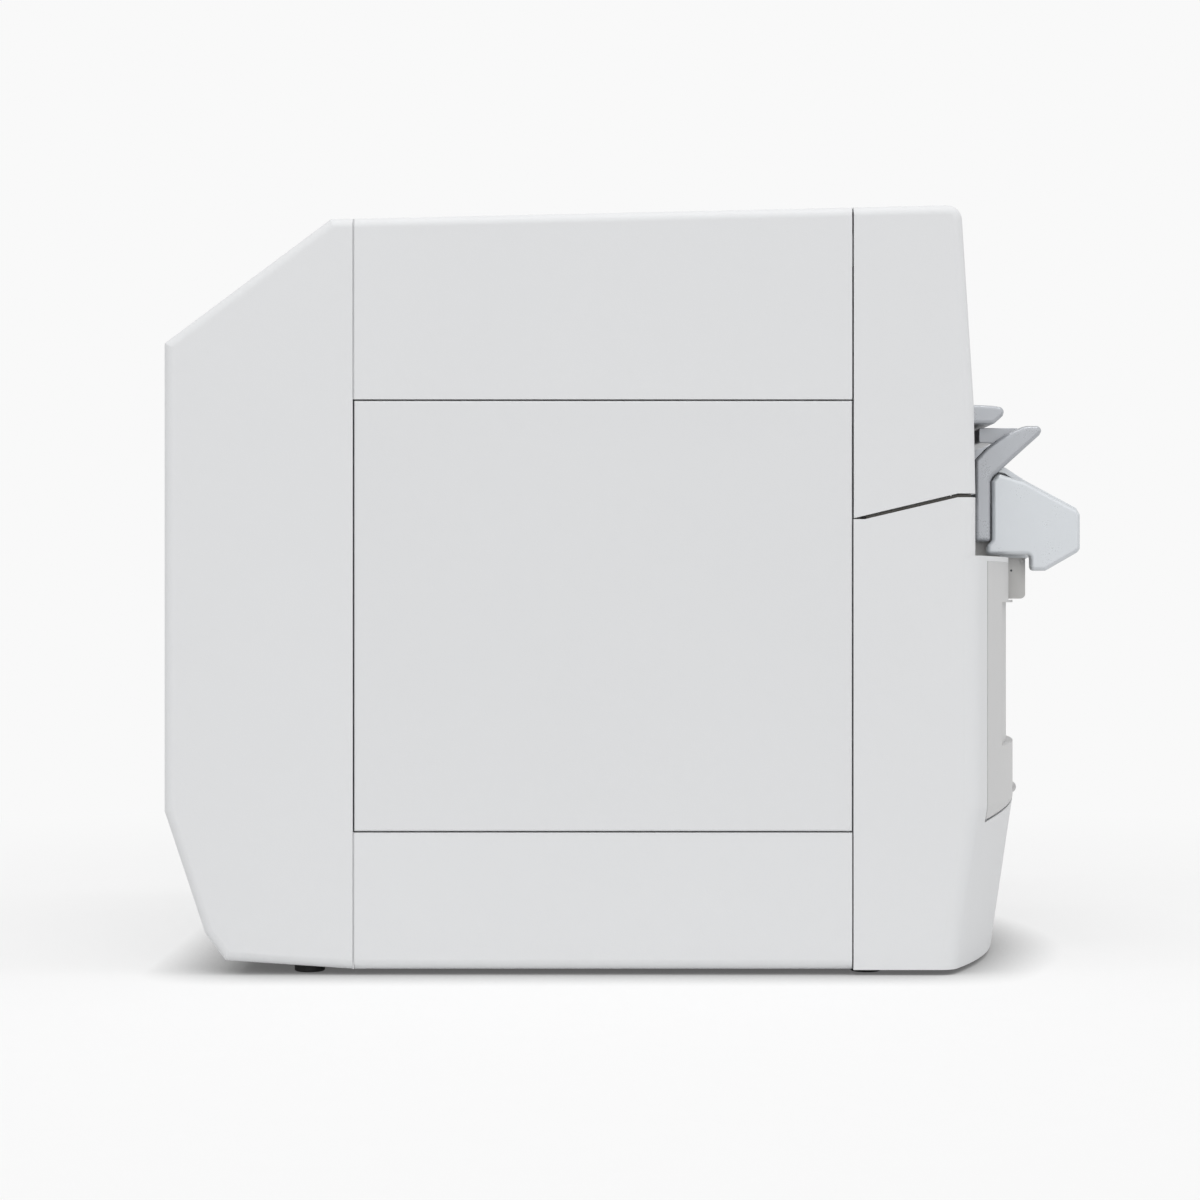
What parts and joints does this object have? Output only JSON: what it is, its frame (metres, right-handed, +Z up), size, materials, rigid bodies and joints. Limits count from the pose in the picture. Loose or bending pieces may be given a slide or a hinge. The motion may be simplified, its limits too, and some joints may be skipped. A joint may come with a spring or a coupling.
{
  "type": "inkjet label printer",
  "caption": "Desktop colour inkjet label printer with a rear roll hood, lifting front cover, ink door and a front peeler unit with a horned release lever.",
  "frame": {"origin": "under the middle of the whole machine, on the table", "axes": "+X to the front, where labels leave, +Y to the machine's left seen from behind, +Z up"},
  "size_m": [0.5534, 0.34, 0.4532],
  "materials": {
    "shell_plastic": "fine grained",
    "grey_plastic": "fine grained",
    "silver_plastic": "satin silver",
    "lever_plastic": "satin",
    "panel_plastic": "satin",
    "key_plastic": "fine grained",
    "power_key_plastic": "fine grained",
    "screen_glass": "clear",
    "circuit_board": "lacquered",
    "foot_rubber": "matte",
    "roller_rubber": "ground",
    "zinc_steel": "zinc plated",
    "pin_steel": "ground",
    "bush_bronze": "sintered",
    "gear_plastic": "natural",
    "motor_steel": "zinc plated",
    "dark_plastic": "grained",
    "black_tank": "smooth",
    "cyan_tank": "smooth",
    "magenta_tank": "smooth",
    "yellow_tank": "smooth",
    "box_plastic": "smooth",
    "connector_metal": "nickel plated",
    "inlet_plastic": "smooth"
  },
  "bodies": {
    "casing": {"base_tray": "shell_plastic", "chassis_base": "zinc_steel", "connector_plate": "connector_metal", "cross_beams": "zinc_steel", "cutter_rail": "zinc_steel", "data_sockets": "connector_metal", "feed_motor": "motor_steel", "front_lower_housing": "shell_plastic", "head_beam": "zinc_steel", "idler_stud": "pin_steel", "ink_bay": "dark_plastic", "ink_cartridge_black": "black_tank", "ink_cartridge_cyan": "cyan_tank", "ink_cartridge_magenta": "magenta_tank", "ink_cartridge_yellow": "yellow_tank", "left_side_frame": "zinc_steel", "left_side_panel": "shell_plastic", "main_board": "circuit_board", "mains_inlet": "inlet_plastic", "maintenance_box": "box_plastic", "media_tray": "dark_plastic", "peel_base": "grey_plastic", "peel_plate": "zinc_steel", "pivot_pins": "pin_steel", "platen": "dark_plastic", "power_supply": "motor_steel", "print_head": "dark_plastic", "rear_housing": "shell_plastic", "right_side_frame": "zinc_steel", "right_side_panel": "shell_plastic", "rubber_feet": "foot_rubber", "shaft_bushes": "bush_bronze", "top_cover": "shell_plastic"},
    "front_cover": {"front_top_cover": "shell_plastic", "visor": "grey_plastic", "panel_bezel": "panel_plastic", "display_lens": "screen_glass", "panel_board": "circuit_board"},
    "roll_hood": {"roll_cover": "shell_plastic"},
    "ink_door": {"ink_door": "grey_plastic"},
    "peel_block": {"peel_block": "silver_plastic"},
    "peel_roller": {"peel_roller": "roller_rubber"},
    "release_lever": {"release_lever": "lever_plastic"},
    "feed_roller": {"feed_roller": "roller_rubber", "feed_gear": "gear_plastic"},
    "nip_roller": {"nip_roller": "roller_rubber"},
    "exit_roller": {"exit_roller": "roller_rubber"},
    "idler_gear": {"idler_gear": "gear_plastic"},
    "motor_pinion": {"motor_pinion": "gear_plastic"},
    "cutter_carriage": {"cutter_carriage": "dark_plastic"},
    "left_edge_guide": {"left_edge_guide": "dark_plastic"},
    "right_edge_guide": {"right_edge_guide": "dark_plastic"},
    "roll_spindle": {"roll_spindle": "dark_plastic"},
    "power_key": {"power_key": "power_key_plastic"},
    "pause_key": {"pause_key": "key_plastic"},
    "feed_key": {"feed_key": "key_plastic"},
    "cancel_key": {"cancel_key": "key_plastic"},
    "up_key": {"up_key": "key_plastic"},
    "ok_key": {"ok_key": "key_plastic"},
    "down_key": {"down_key": "key_plastic"}
  },
  "joints": [
    {"name": "front_cover_hinge", "type": "hinge", "parent": "casing", "child": "front_cover", "pos_m": [0.0922, 0, 0.44407], "axis": [0, -1, 0], "range_deg": [0, 65]},
    {"name": "roll_hood_hinge", "type": "hinge", "parent": "casing", "child": "roll_hood", "pos_m": [-0.1707, 0, 0.44], "axis": [0, 1, 0], "range_deg": [0, 70]},
    {"name": "ink_door_hinge", "type": "hinge", "parent": "casing", "child": "ink_door", "pos_m": [0.2413, 0, 0.1015], "axis": [0, 1, 0], "range_deg": [0, 80]},
    {"name": "peel_block_pivot", "type": "hinge", "parent": "casing", "child": "peel_block", "pos_m": [0.2228, 0, 0.2526], "axis": [0, 1, 0], "range_deg": [0, 38]},
    {"name": "peel_roller_spin", "type": "hinge", "parent": "peel_block", "child": "peel_roller", "pos_m": [0.2583, 0, 0.262], "axis": [0, 1, 0], "continuous": true},
    {"name": "release_lever_pivot", "type": "hinge", "parent": "casing", "child": "release_lever", "pos_m": [0.2172, 0, 0.2605], "axis": [0, -1, 0], "range_deg": [0, 5], "stiffness_Nm_per_rad": 1.2, "springref_deg": -5.73},
    {"name": "feed_roller_spin", "type": "hinge", "parent": "casing", "child": "feed_roller", "pos_m": [0.0536, 0, 0.3], "axis": [0, 1, 0], "continuous": true},
    {"name": "nip_roller_spin", "type": "hinge", "parent": "casing", "child": "nip_roller", "pos_m": [0.0536, 0, 0.3174], "axis": [0, 1, 0], "continuous": true},
    {"name": "exit_roller_spin", "type": "hinge", "parent": "casing", "child": "exit_roller", "pos_m": [0.1686, 0, 0.302], "axis": [0, 1, 0], "continuous": true},
    {"name": "idler_gear_spin", "type": "hinge", "parent": "casing", "child": "idler_gear", "pos_m": [0.0536, 0, 0.27], "axis": [0, 1, 0], "continuous": true},
    {"name": "motor_pinion_spin", "type": "hinge", "parent": "casing", "child": "motor_pinion", "pos_m": [0.0536, 0, 0.252], "axis": [0, 1, 0], "continuous": true},
    {"name": "roll_spindle_spin", "type": "hinge", "parent": "casing", "child": "roll_spindle", "pos_m": [-0.1269, 0, 0.25], "axis": [0, 1, 0], "continuous": true},
    {"name": "cutter_travel", "type": "slide", "parent": "casing", "child": "cutter_carriage", "axis": [0, 1, 0], "range_m": [0, 0.164]},
    {"name": "left_guide_travel", "type": "slide", "parent": "casing", "child": "left_edge_guide", "axis": [0, -1, 0], "range_m": [0, 0.03]},
    {"name": "right_guide_travel", "type": "slide", "parent": "casing", "child": "right_edge_guide", "axis": [0, 1, 0], "range_m": [0, 0.03]},
    {"name": "power_key_press", "type": "slide", "parent": "front_cover", "child": "power_key", "axis": [-0.9978, 0, -0.0663], "range_m": [0, 0.0008], "stiffness_N_per_m": 400, "springref_m": -0.0004},
    {"name": "pause_key_press", "type": "slide", "parent": "front_cover", "child": "pause_key", "axis": [-0.9978, 0, -0.0663], "range_m": [0, 0.0008], "stiffness_N_per_m": 400, "springref_m": -0.0004},
    {"name": "feed_key_press", "type": "slide", "parent": "front_cover", "child": "feed_key", "axis": [-0.9978, 0, -0.0663], "range_m": [0, 0.0008], "stiffness_N_per_m": 400, "springref_m": -0.0004},
    {"name": "cancel_key_press", "type": "slide", "parent": "front_cover", "child": "cancel_key", "axis": [-0.9978, 0, -0.0663], "range_m": [0, 0.0008], "stiffness_N_per_m": 400, "springref_m": -0.0004},
    {"name": "up_key_press", "type": "slide", "parent": "front_cover", "child": "up_key", "axis": [-0.9978, 0, -0.0663], "range_m": [0, 0.0008], "stiffness_N_per_m": 400, "springref_m": -0.0004},
    {"name": "ok_key_press", "type": "slide", "parent": "front_cover", "child": "ok_key", "axis": [-0.9978, 0, -0.0663], "range_m": [0, 0.0008], "stiffness_N_per_m": 400, "springref_m": -0.0004},
    {"name": "down_key_press", "type": "slide", "parent": "front_cover", "child": "down_key", "axis": [-0.9978, 0, -0.0663], "range_m": [0, 0.0008], "stiffness_N_per_m": 400, "springref_m": -0.0004}
  ],
  "couplings": [
    {"joint": "nip_roller_spin", "follows": "feed_roller_spin", "ratio": -1.4286},
    {"joint": "exit_roller_spin", "follows": "feed_roller_spin", "ratio": 1.25},
    {"joint": "idler_gear_spin", "follows": "feed_roller_spin", "ratio": -1.5},
    {"joint": "motor_pinion_spin", "follows": "feed_roller_spin", "ratio": 3},
    {"joint": "right_guide_travel", "follows": "left_guide_travel", "ratio": 1}
  ]
}
